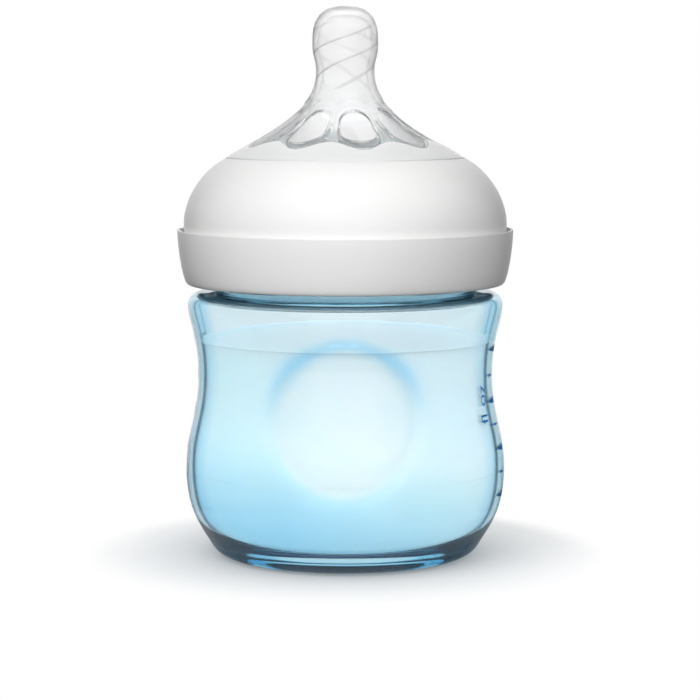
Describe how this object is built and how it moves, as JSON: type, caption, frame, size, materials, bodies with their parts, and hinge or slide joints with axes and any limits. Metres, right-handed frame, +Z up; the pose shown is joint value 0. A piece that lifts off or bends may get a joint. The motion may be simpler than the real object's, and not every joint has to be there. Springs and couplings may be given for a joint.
{
  "type": "baby bottle",
  "caption": "Small waisted feeding bottle with a domed screw ring and a soft petal-walled teat; the ring unscrews and lifts the teat off the neck.",
  "frame": {"origin": "centre of the foot ring, on the plane the bottle stands on", "axes": "+Z up along the common axis of bottle, ring and teat; -Y towards the medallion on the front; +X to the right seen from the front"},
  "size_m": [0.0696, 0.0696, 0.1138],
  "materials": {
    "clear_body": "clear blue-tinted polypropylene, glossy",
    "white_ring": "satin white moulded polypropylene",
    "silicone": "clear silicone, frosted on the nipple"
  },
  "bodies": {
    "bottle": {"bottle": "clear_body"},
    "teat": {"teat": "silicone"},
    "ring": {"screw_ring": "white_ring"}
  },
  "joints": [
    {"name": "closure_lift", "type": "slide", "parent": "bottle", "child": "teat", "axis": [0, 0, 1], "range_m": [0, 0.00875]},
    {"name": "ring_turn", "type": "hinge", "parent": "teat", "child": "ring", "pos_m": [0, 0, 0.0568], "axis": [0, 0, 1], "range_deg": [0, 630]}
  ],
  "couplings": [
    {"joint": "closure_lift", "follows": "ring_turn", "m_per_rad": 0.00079577}
  ]
}
